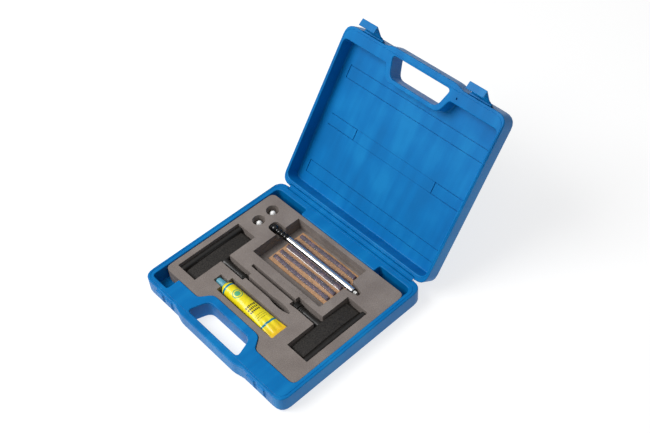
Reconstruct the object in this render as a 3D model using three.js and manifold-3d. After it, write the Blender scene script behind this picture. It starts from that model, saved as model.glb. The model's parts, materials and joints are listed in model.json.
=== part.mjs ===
// Tyre plug repair kit: a moulded carry case with a die-cut foam insert that holds a
// T-handled plug insertion tool, a T-handled reamer, a pen tyre gauge, a cement tube,
// plug strings and valve caps. Millimetres, +Z up. The origin is the centre of the
// base's underside, +X runs to the right along the hinge and +Y from handle to hinge.
// The lid is modelled closed and then turned open about the hinge line.
import * as THREE from 'three';
import { mergeVertices } from 'three/addons/utils/BufferGeometryUtils.js';
import Module from 'manifold-3d';

const wasm = await Module();
wasm.setup();

// the two halves of the carry case
const caseWidth = 258;
const caseDepth = 227;
const baseHeight = 25;
const lidHeight = 24;
const cornerRadius = 15;
const outerEdge = 4;
const floorThickness = 3;
const baseRimSide = 8.5;
const baseRimBack = 12;
const lidRimSide = 4.5;
const lidRimBack = 8.5;
const baseShelf = 27;
const lidShelf = 18.5;
const partingGap = 0.3;
const frontWall = -caseDepth / 2;
const backWall = caseDepth / 2;

// the hinge, and how far the lid stands open
const hingeY = backWall + 0.4;
const hingeZ = baseHeight + partingGap / 2;
const lidOpenAngle = 125.5;
const hingeSpan = 224;
const hingeLeaf = 3;
const hingeRebate = 1;
const hingeThickness = 0.5;

// the carry handle: an opening through both halves and a bar that stands proud
const gripFrontHalf = 47;
const gripBackHalf = 38;
const gripFront = frontWall + 6;
const gripBack = frontWall + 32.5;
const barProud = 3.7;
const barRootHalf = 63;
const barFrontHalf = 50;
const bulgeDepth = 16;
const bulgeRootHalf = 54;
const bulgeTopHalf = 42;
const ringRootHalf = 51.5;
const ringTopHalf = 43;
const ringBack = gripBack + 5.5;

// the two latches
const latchOffset = 86;
const latchWidth = 26;
const latchPivotY = frontWall - 0.7;
const latchPivotZ = baseHeight + 4.7;
const latchLength = 23.9;
const latchThickness = 2;
const latchBend = 5.9;
const latchFlare = 5.2;
const latchHookLength = 9.6;
const latchHookRise = 0.6;
const latchKnuckle = 2.2;
const latchKnuckleLength = 32;
const latchOpenAngle = 22;
const latchClearance = 1.1;
const lugWidth = 13.5;
const lugNotch = 4;
const lugProud = 1.7;
const lugBottom = 8.9;
const lugTop = 21;
const hookRecessDepth = 6.5;
const hookRecessBottom = 3.5;

// the foam insert: two layers with pockets cut for each piece, on a thin liner
const linerBottom = floorThickness + 0.3;
const linerTop = linerBottom + 1.4;
const foamBottom = linerTop + 0.3;
const foamSeam = 13.4;
const foamTop = 23.5;
const foamGap = 0.3;
const foamSideGap = 0.5;
const shallowPocketFloor = 8.4;
const foamBack = 91;

// the two T-handled tools
const toolLength = 95;
const toolWidth = 31.6;
const toolHeight = 16;
const toolBead = 8;
const toolPanelHeight = 12;
const toolRest = linerTop + 0.3;
const toolAxisZ = toolRest + toolHeight / 2;
const stemLength = 42.5;
const stemRootRadius = 6;
const stemEndRadius = 4.2;
const collarLength = 8;
const collarRadius = 6.3;
const shankRadius = 2;
const tangLength = 30;
const fitGap = 0.3;
const insertionPlace = { x: -110.6, y: -24, reach: 76.5 };
const reamerPlace = { x: 107.2, y: -7, reach: 78.5 };

// the pen gauge
const gaugeY = 54;
const gaugeZ = 19.5;
const gaugeBallX = -74.3;
const gaugeBallRadius = 5.6;
const neckStart = -69.7;
const barrelStart = -47;
const barrelEnd = 71;
const barrelRadius = 4.3;
const barrelBore = 3.6;
const barSide = 3;
const barEnd = 76.5;
const pistonX = -38;

// the cement tube
const tubeY = -50;
const tubeZ = 17.6;
const tubeCapStart = -61;
const tubeCapEnd = -47.4;
const tubeShoulder = -46.8;
const tubeBodyStart = -42;
const tubeTail = 54.4;
const tubeRadius = 9.2;
const tubeTailHalf = 11.8;

// the plug strings on their backing sheet, and the valve caps
const plugCount = 5;
const plugLength = 100;
const plugWidth = 7.4;
const plugHeight = 3.5;
const plugPitch = 11.5;
const plugFirstY = 29.5;
const plugStartX = -48.5;
const sheetThickness = 0.8;
const bigPocket = { left: -62, right: 61.5, front: 7.7, back: 85 };
const valveCapRadius = 4.4;
const valveCapHeight = 12;
const valveCapHole = 8.7;
const valveCapPlaces = [[-97, 47], [-97.3, 70.6]];

const caseBlue = 0x0070b8;
const foamGrey = 0x8c827d;
const plasticBlack = 0x23211e;
const steelGrey = 0xb8bcc0;
const chromeGrey = 0xd8dadc;
const rubberBlack = 0x1a1a1a;
const tubeYellow = 0xf5e61e;
const capTeal = 0x5aa0b4;
const plugPurple = 0x55465a;
const sheetTan = 0xc89664;
const capWhite = 0xf0f0ee;

const kit = new THREE.Group();

function finish(colour, roughness, metalness = 0) {
  return new THREE.MeshStandardMaterial({ color: colour, roughness, metalness });
}

function solidOf(geometry) {
  const bare = geometry.index ? geometry.toNonIndexed() : geometry.clone();
  bare.deleteAttribute('normal');
  bare.deleteAttribute('uv');
  const merged = mergeVertices(bare, 1e-4);
  const vertProperties = new Float32Array(merged.attributes.position.array);
  const triVerts = new Uint32Array(merged.index.array);
  return new wasm.Manifold(new wasm.Mesh({ numProp: 3, vertProperties, triVerts }));
}

function geometryOf(solid) {
  const { vertProperties, triVerts } = solid.getMesh();
  const geometry = new THREE.BufferGeometry();
  geometry.setAttribute('position', new THREE.BufferAttribute(vertProperties, 3));
  geometry.setIndex(new THREE.BufferAttribute(triVerts, 1));
  return geometry;
}

function addPiece(group, name, geometry, material) {
  const mesh = new THREE.Mesh(geometry, material);
  mesh.name = name;
  group.add(mesh);
  return mesh;
}

// a closed outline through corner points [x, y, radius], each corner rounded
function roundedOutline(corners) {
  const shape = new THREE.Shape();
  corners.forEach(([x, y, radius = 0], i) => {
    const corner = new THREE.Vector2(x, y);
    const before = corners.at(i - 1);
    const after = corners[(i + 1) % corners.length];
    const towards = new THREE.Vector2(before[0], before[1]).sub(corner).normalize();
    const onwards = new THREE.Vector2(after[0], after[1]).sub(corner).normalize();
    const start = corner.clone().addScaledVector(towards, radius);
    const end = corner.clone().addScaledVector(onwards, radius);
    if (i === 0) shape.moveTo(start.x, start.y);
    else shape.lineTo(start.x, start.y);
    if (radius) shape.quadraticCurveTo(x, y, end.x, end.y);
  });
  shape.closePath();
  return shape;
}

function rectangle(left, front, right, back, radius = 0) {
  return roundedOutline([
    [left, front, radius],
    [right, front, radius],
    [right, back, radius],
    [left, back, radius],
  ]);
}

function slab(shape, low, high, curveSegments = 4) {
  const depth = high - low;
  const geometry = new THREE.ExtrudeGeometry(shape, { depth, bevelEnabled: false, curveSegments });
  return geometry.translate(0, 0, low);
}

function block(left, front, low, right, back, high) {
  const geometry = new THREE.BoxGeometry(right - left, back - front, high - low);
  return geometry.translate((left + right) / 2, (front + back) / 2, (low + high) / 2);
}

// a cylinder about the X axis
function crossBar(length, radius, x, y, z, sides = 16) {
  const geometry = new THREE.CylinderGeometry(radius, radius, length, sides);
  return geometry.rotateZ(Math.PI / 2).translate(x, y, z);
}

// a turned piece about the X axis: profile points are [along x, radius]
function turned(profile, sides = 20) {
  const points = profile.map(([along, radius]) => new THREE.Vector2(radius, along));
  return new THREE.LatheGeometry(points, sides).rotateZ(-Math.PI / 2);
}

// an outline in the Y-Z plane drawn out along X, centred on x
function drawnAlongX(outline, length, x, curveSegments = 4) {
  const options = { depth: length, bevelEnabled: false, curveSegments };
  const geometry = new THREE.ExtrudeGeometry(outline, options);
  geometry.rotateX(Math.PI / 2).rotateZ(Math.PI / 2);
  return geometry.translate(x - length / 2, 0, 0);
}

// ---- the case halves ----

function gripOutline() {
  return roundedOutline([
    [-gripFrontHalf, gripFront, 6],
    [gripFrontHalf, gripFront, 6],
    [gripBackHalf, gripBack, 8],
    [-gripBackHalf, gripBack, 8],
  ]);
}

// a half's outside: rounded corners, a softened outer edge and the proud handle bar
function outerSolid(low, high, softLow) {
  const side = caseWidth / 2;
  const middle = (low + high) / 2;
  const outline = rectangle(-side, frontWall, side, backWall, cornerRadius);
  const inset = { bevelEnabled: true, bevelSize: outerEdge, bevelOffset: -outerEdge };
  const soft = new THREE.ExtrudeGeometry(outline, {
    depth: high - low - 2 * outerEdge,
    ...inset,
    bevelThickness: outerEdge,
    bevelSegments: 2,
    curveSegments: 5,
  }).translate(0, 0, low + outerEdge);
  const straight = softLow ? slab(outline, middle, high, 5) : slab(outline, low, middle, 5);
  const bar = roundedOutline([
    [-barRootHalf, frontWall + 2, 0],
    [-barRootHalf, frontWall, 0],
    [-barFrontHalf, frontWall - barProud, 5],
    [barFrontHalf, frontWall - barProud, 5],
    [barRootHalf, frontWall, 0],
    [barRootHalf, frontWall + 2, 0],
  ]);
  const barLow = softLow ? low + outerEdge : low;
  const barHigh = softLow ? high : high - outerEdge;
  return solidOf(soft).add(solidOf(straight)).add(solidOf(slab(bar, barLow, barHigh)));
}

function hingeRebateBlock(low, high) {
  const half = hingeSpan / 2 + 0.6;
  return solidOf(block(-half, backWall - hingeLeaf, low, half, backWall + 1, high));
}

function baseCavity() {
  const side = caseWidth / 2 - baseRimSide;
  const shelf = frontWall + baseShelf;
  const bulge = shelf + bulgeDepth;
  const binRight = -91;
  const binFront = frontWall + baseRimSide;
  const back = backWall - baseRimBack;
  return roundedOutline([
    [-side, binFront, 5],
    [binRight, binFront, 3],
    [binRight, shelf, 2],
    [-bulgeRootHalf, shelf, 4],
    [-bulgeTopHalf, bulge, 6],
    [bulgeTopHalf, bulge, 6],
    [bulgeRootHalf, shelf, 4],
    [side, shelf, 8],
    [side, back, 8],
    [69, back, 3],
    [69, foamBack + 0.4, 3],
    [-65, foamBack + 0.4, 3],
    [-65, back, 3],
    [-side, back, 8],
  ]);
}

function makeBase() {
  let shell = outerSolid(0, baseHeight, true);
  for (const side of [-1, 1]) {
    for (const half of [-1, 1]) {
      const middle = side * latchOffset + (half * (lugWidth + lugNotch)) / 2;
      const left = middle - lugWidth / 2;
      const right = middle + lugWidth / 2;
      const lug = block(left, frontWall - lugProud, lugBottom, right, frontWall + 2, lugTop);
      shell = shell.add(solidOf(lug));
    }
    const reach = latchWidth / 2 + 2.5;
    const left = side * latchOffset - reach;
    const right = side * latchOffset + reach;
    const recessBack = frontWall + hookRecessDepth;
    const recess = block(left, frontWall - 3, hookRecessBottom, right, recessBack, lugBottom);
    shell = shell.subtract(solidOf(recess));
  }
  shell = shell.subtract(solidOf(slab(baseCavity(), floorThickness, baseHeight + 1)));
  shell = shell.subtract(solidOf(slab(gripOutline(), -1, baseHeight + 1)));
  shell = shell.subtract(hingeRebateBlock(baseHeight - hingeRebate, baseHeight + 1));
  addPiece(kit, 'base_shell', geometryOf(shell), finish(caseBlue, 0.38));
}

function lidCavity() {
  const side = caseWidth / 2 - lidRimSide;
  const shelf = frontWall + lidShelf;
  const back = backWall - lidRimBack;
  return roundedOutline([
    [-side, shelf, 6],
    [-ringRootHalf, shelf, 3],
    [-ringTopHalf, ringBack, 8],
    [ringTopHalf, ringBack, 8],
    [ringRootHalf, shelf, 3],
    [side, shelf, 6],
    [side, back, 10],
    [-side, back, 10],
  ]);
}

function makeLid(lidGroup) {
  const low = baseHeight + partingGap;
  const high = low + lidHeight;
  const inside = high - floorThickness;
  let shell = outerSolid(low, high, false);
  shell = shell.subtract(solidOf(slab(lidCavity(), low - 1, inside)));
  shell = shell.subtract(solidOf(slab(gripOutline(), low - 1, high + 1)));
  for (const side of [-1, 1]) {
    const x = side * latchOffset;
    const half = latchKnuckleLength / 2 + latchClearance;
    const room = latchKnuckle + latchClearance;
    const back = latchPivotY + room;
    const channel = block(x - half, frontWall - 3, latchPivotZ - room, x + half, back, latchPivotZ + room);
    shell = shell.subtract(solidOf(channel));
  }
  shell = shell.subtract(hingeRebateBlock(low - 1, low + hingeRebate));
  addPiece(lidGroup, 'lid_shell', geometryOf(shell), finish(caseBlue, 0.38));
}

// a latch hanging closed from its pivot: the knuckle, a plate that flares away from the
// wall, and the hook that turns in under the base's lugs
function latchGeometry() {
  const outer = -(latchKnuckle + 1);
  const inner = outer + latchThickness;
  const foot = outer - latchFlare;
  const hookEnd = foot + latchHookLength;
  const hookLow = latchHookRise - latchLength;
  const profile = roundedOutline([
    [outer, 0.8, 0.6],
    [outer, -latchBend, 2],
    [foot, -latchLength, 0.8],
    [hookEnd, hookLow, 0.4],
    [hookEnd, hookLow + 1.8, 0.4],
    [foot + 2.6, 1.8 - latchLength, 0.3],
    [inner, -latchBend, 2],
    [inner, 0.8, 0.4],
  ]);
  const plate = solidOf(drawnAlongX(profile, latchWidth, 0, 2));
  const knuckle = solidOf(crossBar(latchKnuckleLength, latchKnuckle, 0, 0, 0, 14));
  return geometryOf(plate.add(knuckle));
}

function makeLatches(lidGroup) {
  for (const [name, side] of [['latch_left', -1], ['latch_right', 1]]) {
    const latch = addPiece(lidGroup, name, latchGeometry(), finish(caseBlue, 0.38));
    latch.position.set(side * latchOffset, latchPivotY, latchPivotZ);
    latch.rotation.x = -THREE.MathUtils.degToRad(latchOpenAngle);
  }
}

// the thin moulded web: one leaf in each rim's rebate, and the bend about the hinge line
function makeHinge() {
  const inner = partingGap / 2 + 0.2;
  const outer = inner + hingeThickness;
  const reach = hingeLeaf + 0.1;
  const open = THREE.MathUtils.degToRad(lidOpenAngle);
  const turn = (y, z) => [
    hingeY + y * Math.cos(open) + z * Math.sin(open),
    hingeZ - y * Math.sin(open) + z * Math.cos(open),
  ];
  const start = -Math.PI / 2;
  const end = Math.PI / 2 - open;
  const web = new THREE.Shape();
  web.moveTo(hingeY - reach, hingeZ - outer);
  web.lineTo(hingeY, hingeZ - outer);
  web.absarc(hingeY, hingeZ, outer, start, end, false);
  web.lineTo(...turn(-reach, outer));
  web.lineTo(...turn(-reach, inner));
  web.lineTo(...turn(0, inner));
  web.absarc(hingeY, hingeZ, inner, end, start, true);
  web.lineTo(hingeY - reach, hingeZ - inner);
  web.closePath();
  addPiece(kit, 'living_hinge', drawnAlongX(web, hingeSpan, 0), finish(caseBlue, 0.38));
}

// ---- the foam insert ----

function foamOutline() {
  const side = caseWidth / 2 - baseRimSide - foamSideGap;
  const front = frontWall + baseShelf + foamSideGap;
  const bulge = front + bulgeDepth;
  return roundedOutline([
    [-side, front, 8],
    [-bulgeRootHalf - 0.4, front, 4],
    [-bulgeTopHalf - 0.3, bulge, 6],
    [bulgeTopHalf + 0.3, bulge, 6],
    [bulgeRootHalf + 0.4, front, 4],
    [side, front, 8],
    [side, foamBack, 8],
    [-side, foamBack, 8],
  ]);
}

// pocket outlines that go right through the foam
function deepPockets() {
  const first = insertionPlace;
  const second = reamerPlace;
  const half = toolLength / 2 + 1;
  const firstStem = first.x + toolWidth;
  const firstEnd = firstStem + stemLength + 0.6;
  const leaf = new THREE.Shape();
  leaf.moveTo(firstEnd - 1, first.y - 2.3);
  leaf.lineTo(8, first.y - 2.3);
  leaf.quadraticCurveTo(28, first.y - 6.5, 43, first.y - 1.2);
  leaf.lineTo(43, first.y + 1.2);
  leaf.quadraticCurveTo(28, first.y + 5.5, 8, first.y + 2.3);
  leaf.lineTo(firstEnd - 1, first.y + 2.3);
  leaf.closePath();
  const secondStem = second.x - toolWidth;
  const secondEnd = secondStem - stemLength - 0.6;
  const { left, right, front, back } = bigPocket;
  return [
    rectangle(first.x - 0.9, first.y - half, firstStem + 1, first.y + half),
    rectangle(firstStem, first.y - 6.8, firstEnd, first.y + 6.8, 1),
    leaf,
    rectangle(secondStem - 1, second.y - half, second.x + 0.9, second.y + half),
    roundedOutline([
      [secondEnd, second.y - 7.8],
      [secondEnd + 10, second.y - 6.8, 3],
      [secondStem, second.y - 7],
      [secondStem, second.y + 7],
      [secondEnd + 10, second.y + 6.8, 3],
      [secondEnd, second.y + 7.8],
    ]),
    rectangle(-45.6, second.y - 2.3, secondEnd + 1, second.y + 2.3, 2),
    rectangle(left, front, right, back),
  ];
}

// pocket outlines for the tube and the valve caps, which stop part way down
function shallowPockets() {
  const tube = rectangle(tubeShoulder - 0.4, tubeY - 12.5, tubeTail + 0.9, tubeY + 12.5, 1);
  const cap = rectangle(tubeCapStart - 0.6, tubeY - 6, tubeShoulder + 1, tubeY + 6, 0.5);
  const holes = valveCapPlaces.map(([x, y]) => {
    const hole = new THREE.Shape();
    hole.absarc(x, y, valveCapHole, 0, 2 * Math.PI);
    return hole;
  });
  return [tube, cap, ...holes];
}

// the notches that the gauge's two ends rest in, cut in the upper layer only
function gaugeNotches() {
  const { left, right } = bigPocket;
  const head = roundedOutline([
    [-80.6, gaugeY - 8, 7],
    [left + 1, gaugeY - 8],
    [left + 1, gaugeY + 8],
    [-80.6, gaugeY + 8, 7],
  ]);
  const tip = roundedOutline([
    [right - 1, gaugeY - 7.5],
    [82, gaugeY - 3, 1.5],
    [82, gaugeY + 3, 1.5],
    [right - 1, gaugeY + 8.5],
  ]);
  return [head, tip];
}

function cutThrough(solid, outlines, low, high, curveSegments) {
  for (const outline of outlines) {
    solid = solid.subtract(solidOf(slab(outline, low, high, curveSegments)));
  }
  return solid;
}

function makeFoam() {
  const material = finish(foamGrey, 0.95);
  addPiece(kit, 'foam_liner', slab(foamOutline(), linerBottom, linerTop), material);
  let lower = solidOf(slab(foamOutline(), foamBottom, foamSeam));
  lower = cutThrough(lower, deepPockets(), foamBottom - 1, foamSeam + 1, 4);
  lower = cutThrough(lower, shallowPockets(), shallowPocketFloor, foamSeam + 1, 6);
  let upper = solidOf(slab(foamOutline(), foamSeam + foamGap, foamTop));
  upper = cutThrough(upper, deepPockets(), foamSeam - 1, foamTop + 1, 4);
  upper = cutThrough(upper, shallowPockets(), foamSeam - 1, foamTop + 1, 6);
  upper = cutThrough(upper, gaugeNotches(), foamSeam - 1, foamTop + 1, 3);
  addPiece(kit, 'foam_lower_layer', geometryOf(lower), material);
  addPiece(kit, 'foam_upper_layer', geometryOf(upper), material);
}

// ---- the T-handled tools, each made along +X from the handle's back ----

function handleGeometry() {
  const half = toolLength / 2;
  const bead = roundedOutline([
    [0, -toolHeight / 2, 4],
    [toolBead, -toolHeight / 2, 4],
    [toolBead, toolHeight / 2, 4],
    [0, toolHeight / 2, 4],
  ]);
  const beadGeometry = new THREE.ExtrudeGeometry(bead, { depth: toolLength, bevelEnabled: false });
  beadGeometry.rotateX(Math.PI / 2).translate(0, half, 0);
  const panel = rectangle(toolBead - 2, -half, toolWidth, half, 3);
  const low = -toolPanelHeight / 2;
  const stem = turned([
    [toolWidth - 6, 0],
    [toolWidth - 6, stemRootRadius],
    [toolWidth, stemRootRadius],
    [toolWidth + stemLength - collarLength, stemEndRadius + 0.6],
    [toolWidth + stemLength - collarLength, stemEndRadius],
    [toolWidth + stemLength, stemEndRadius],
    [toolWidth + stemLength, 0],
  ], 18);
  const boreLength = tangLength + 1;
  const boreX = toolWidth + stemLength + 1 - boreLength / 2;
  const bore = crossBar(boreLength, shankRadius + fitGap, boreX, 0, 0, 10);
  const solid = solidOf(beadGeometry).add(solidOf(slab(panel, low, -low))).add(solidOf(stem));
  return geometryOf(solid.subtract(solidOf(bore)));
}

// a ribbed ring pushed over the end of the stem
function collarGeometry() {
  const inner = stemEndRadius + fitGap;
  const end = toolWidth + stemLength;
  const start = end - collarLength + fitGap;
  const rib = (end - start) / 6;
  const profile = [[start, inner]];
  for (let i = 0; i < 6; i += 1) {
    const radius = i % 2 ? collarRadius - 0.8 : collarRadius;
    profile.push([start + i * rib, radius], [start + (i + 1) * rib, radius]);
  }
  profile.push([end, inner], [start, inner]);
  return turned(profile, 18);
}

// the needle's tip is flattened, pointed and split by a long eye for the plug string
function needleGeometry(reach) {
  const end = toolWidth + stemLength;
  const start = end - tangLength + 0.6;
  const tip = end + reach;
  const rod = turned([
    [start, 0],
    [start, shankRadius],
    [tip - 9, shankRadius],
    [tip - 3, 1.5],
    [tip, 0.3],
    [tip, 0],
  ], 14);
  const eye = rectangle(tip - 17, -0.65, tip - 5, 0.65, 0.5);
  return geometryOf(solidOf(rod).subtract(solidOf(slab(eye, -4, 4, 2))));
}

// the rasp is a pointed rod with a row of cutting ridges
function raspGeometry(reach) {
  const end = toolWidth + stemLength;
  const start = end - tangLength + 0.6;
  const tip = end + reach;
  const raspStart = tip - 48;
  const ridges = 12;
  const pitch = (tip - 4 - raspStart) / ridges;
  const profile = [[start, 0], [start, shankRadius], [raspStart, shankRadius]];
  for (let i = 0; i < ridges; i += 1) {
    profile.push([raspStart + (i + 0.15) * pitch, shankRadius + 0.15]);
    profile.push([raspStart + (i + 0.95) * pitch, shankRadius - 0.35]);
  }
  profile.push([tip, 0.3], [tip, 0]);
  return turned(profile, 12);
}

function makeTools() {
  const plastic = finish(plasticBlack, 0.7);
  const steel = finish(steelGrey, 0.35, 1);
  const insertion = new THREE.Group();
  insertion.position.set(insertionPlace.x, insertionPlace.y, toolAxisZ);
  addPiece(insertion, 'insertion_tool_handle', handleGeometry(), plastic);
  addPiece(insertion, 'insertion_tool_collar', collarGeometry(), plastic);
  addPiece(insertion, 'insertion_tool_needle', needleGeometry(insertionPlace.reach), steel);
  kit.add(insertion);
  const reamer = new THREE.Group();
  reamer.position.set(reamerPlace.x, reamerPlace.y, toolAxisZ);
  reamer.rotation.z = Math.PI;
  addPiece(reamer, 'reamer_handle', handleGeometry(), plastic);
  addPiece(reamer, 'reamer_collar', collarGeometry(), plastic);
  addPiece(reamer, 'reamer_rasp', raspGeometry(reamerPlace.reach), steel);
  kit.add(reamer);
}

// ---- the pen gauge, along +X from its ball head ----

function springGeometry(start, end, radius, wire) {
  const turns = 9;
  const steps = turns * 9;
  const points = [];
  for (let i = 0; i <= steps; i += 1) {
    const angle = (i / 9) * 2 * Math.PI;
    const x = start + ((end - start) * i) / steps;
    points.push(new THREE.Vector3(x, radius * Math.cos(angle), radius * Math.sin(angle)));
  }
  const path = new THREE.CatmullRomCurve3(points);
  const section = new THREE.Shape();
  section.absarc(0, 0, wire / 2, 0, 2 * Math.PI);
  return new THREE.ExtrudeGeometry(section, { steps, extrudePath: path, curveSegments: 3 });
}

function makeGauge() {
  const black = finish(plasticBlack, 0.35);
  const chrome = finish(chromeGrey, 0.08, 1);
  const steel = finish(steelGrey, 0.35, 1);
  const gauge = new THREE.Group();
  gauge.position.set(0, gaugeY, gaugeZ);

  // the ball is cut flat for the neck, and its socket for the valve opens to the left
  const socket = { radius: 3.9, depth: 3.4 };
  const ball = new THREE.SphereGeometry(gaugeBallRadius, 18, 12).translate(gaugeBallX, 0, 0);
  const flat = block(neckStart - fitGap, -9, -9, neckStart + 9, 9, 9);
  const socketX = gaugeBallX - gaugeBallRadius - 1 + (socket.depth + 2) / 2;
  const mouth = crossBar(socket.depth + 2, socket.radius, socketX, 0, 0, 14);
  const head = solidOf(ball).subtract(solidOf(flat)).subtract(solidOf(mouth));
  addPiece(gauge, 'gauge_head', geometryOf(head), black);

  const sealX = socketX + (socket.depth + 2) / 2 - fitGap;
  const seal = turned([
    [sealX - 1.2, 1.5],
    [sealX - 1.2, 3.6],
    [sealX, 3.6],
    [sealX, 1.5],
    [sealX - 1.2, 1.5],
  ], 14);
  addPiece(gauge, 'gauge_head_seal', seal, finish(rubberBlack, 0.8));
  const pin = crossBar(2.4, 0.8, sealX - 1.2, 0, 0, 10);
  addPiece(gauge, 'gauge_valve_pin', pin, steel);

  // the neck's rings, and a spigot that stands inside the barrel
  const ringCount = 3;
  const ringPitch = (barrelStart - 1 - neckStart - 4) / ringCount;
  const profile = [[neckStart, 0], [neckStart, 3.4]];
  for (let i = 0; i < ringCount; i += 1) {
    const from = neckStart + 3 + i * ringPitch;
    profile.push([from, 3.4], [from + 1, 4.2], [from + ringPitch - 2, 4.2]);
    profile.push([from + ringPitch - 1, 3.6]);
  }
  profile.push([barrelStart - fitGap, 4.3], [barrelStart - fitGap, barrelBore - fitGap]);
  profile.push([barrelStart + 6, barrelBore - fitGap], [barrelStart + 6, 0]);
  addPiece(gauge, 'gauge_neck', turned(profile, 18), black);

  const barrel = turned([
    [barrelStart, barrelBore],
    [barrelStart, barrelRadius],
    [barrelEnd - 1, barrelRadius],
    [barrelEnd, barrelRadius - 0.5],
    [barrelEnd, barrelBore],
    [barrelStart, barrelBore],
  ], 24);
  addPiece(gauge, 'gauge_barrel', barrel, chrome);

  const bushHole = barSide / 2 + fitGap;
  const bushStart = barrelEnd - 7;
  const bush = solidOf(crossBar(7.4, barrelBore - fitGap, bushStart + 3.7, 0, 0, 18));
  const barHole = block(bushStart - 1, -bushHole, -bushHole, barrelEnd + 2, bushHole, bushHole);
  addPiece(gauge, 'gauge_end_bush', geometryOf(bush.subtract(solidOf(barHole))), black);

  const spring = springGeometry(pistonX + 4.2, bushStart - 1.2, 2.75, 0.6);
  addPiece(gauge, 'gauge_spring', spring, steel);

  const piston = crossBar(6, barrelBore - fitGap, pistonX, 0, 0, 16);
  addPiece(gauge, 'gauge_piston', piston, finish(rubberBlack, 0.8));
  const half = barSide / 2;
  const barStart = pistonX + 3 + fitGap;
  const bar = block(barStart, -half, -half, barEnd, half, half);
  addPiece(gauge, 'gauge_indicator_bar', bar, finish(capWhite, 0.4));
  kit.add(gauge);
}

// ---- the cement tube, along +X from its cap ----

function makeCementTube() {
  const tube = new THREE.Group();
  tube.position.set(0, tubeY, tubeZ);

  // the body is round at the shoulder and pressed flat at the tail
  const length = tubeTail - tubeBodyStart;
  const body = new THREE.CylinderGeometry(tubeRadius, tubeRadius, length, 22, 8);
  body.rotateZ(Math.PI / 2).translate(tubeBodyStart + length / 2, 0, 0);
  const place = body.attributes.position;
  for (let i = 0; i < place.count; i += 1) {
    const along = (place.getX(i) - tubeBodyStart) / length;
    const flat = along ** 1.6;
    const widen = 1 + (tubeTailHalf / tubeRadius - 1) * flat;
    const thin = 1 - (1 - 0.7 / tubeRadius) * flat;
    place.setY(i, place.getY(i) * widen);
    place.setZ(i, place.getZ(i) * thin + 2.6 * along);
  }
  const shoulder = turned([
    [tubeCapStart + 3, 0],
    [tubeCapStart + 3, 3],
    [tubeShoulder, 3],
    [tubeShoulder, 5.4],
    [tubeBodyStart, tubeRadius],
    [tubeBodyStart + 0.5, tubeRadius - 0.6],
    [tubeBodyStart + 0.5, 0],
  ], 22);
  const whole = solidOf(body).add(solidOf(shoulder));
  addPiece(tube, 'cement_tube_body', geometryOf(whole), finish(tubeYellow, 0.35));

  const cap = turned([
    [tubeCapStart, 0],
    [tubeCapStart, 3.9],
    [tubeCapStart + 0.7, 4.5],
    [tubeCapEnd, 5.5],
    [tubeCapEnd, 3 + fitGap],
    [tubeCapStart + 2.6, 3 + fitGap],
    [tubeCapStart + 2.6, 0],
  ], 18);
  addPiece(tube, 'cement_tube_cap', cap, finish(capTeal, 0.45));
  kit.add(tube);
}

// ---- the plug strings and the valve caps ----

function makePlugs() {
  const low = linerTop + 0.3;
  const right = plugStartX + plugLength;
  const back = plugFirstY + (plugCount - 1) * plugPitch;
  const sheet = block(plugStartX - 3.5, plugFirstY - 7, low, right + 3.5, back + 6.5, low + sheetThickness);
  addPiece(kit, 'plug_backing_sheet', sheet, finish(sheetTan, 0.8));
  const bottom = low + sheetThickness + 0.3;
  for (let i = 0; i < plugCount; i += 1) {
    const y = plugFirstY + i * plugPitch;
    const section = rectangle(y - plugWidth / 2, bottom, y + plugWidth / 2, bottom + plugHeight, 1.5);
    const string = drawnAlongX(section, plugLength, plugStartX + plugLength / 2, 2);
    addPiece(kit, `plug_string_${i + 1}`, string, finish(plugPurple, 0.9));
  }
}

function makeValveCaps() {
  const bore = valveCapRadius - 1.1;
  const points = [
    [bore, 0],
    [valveCapRadius, 0],
    [valveCapRadius, valveCapHeight - 1.5],
    [valveCapRadius - 1.2, valveCapHeight - 0.4],
    [0, valveCapHeight],
    [0, valveCapHeight - 3],
    [bore, valveCapHeight - 3],
    [bore, 0],
  ].map(([radius, height]) => new THREE.Vector2(radius, height));
  valveCapPlaces.forEach(([x, y], i) => {
    const geometry = new THREE.LatheGeometry(points, 16).rotateX(Math.PI / 2);
    const cap = addPiece(kit, `valve_cap_${i + 1}`, geometry, finish(capWhite, 0.3));
    cap.position.set(x, y, shallowPocketFloor + 0.3);
  });
}

makeBase();
makeFoam();
makeHinge();

const lid = new THREE.Group();
makeLid(lid);
makeLatches(lid);
const shifted = new THREE.Group();
shifted.position.set(0, hingeY, hingeZ);
shifted.rotation.x = -THREE.MathUtils.degToRad(lidOpenAngle);
lid.position.set(0, -hingeY, -hingeZ);
shifted.add(lid);
kit.add(shifted);

makeTools();
makeGauge();
makeCementTube();
makePlugs();
makeValveCaps();

export default kit;
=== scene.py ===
import json
import math

import bpy
from mathutils import Matrix, Vector


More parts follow.
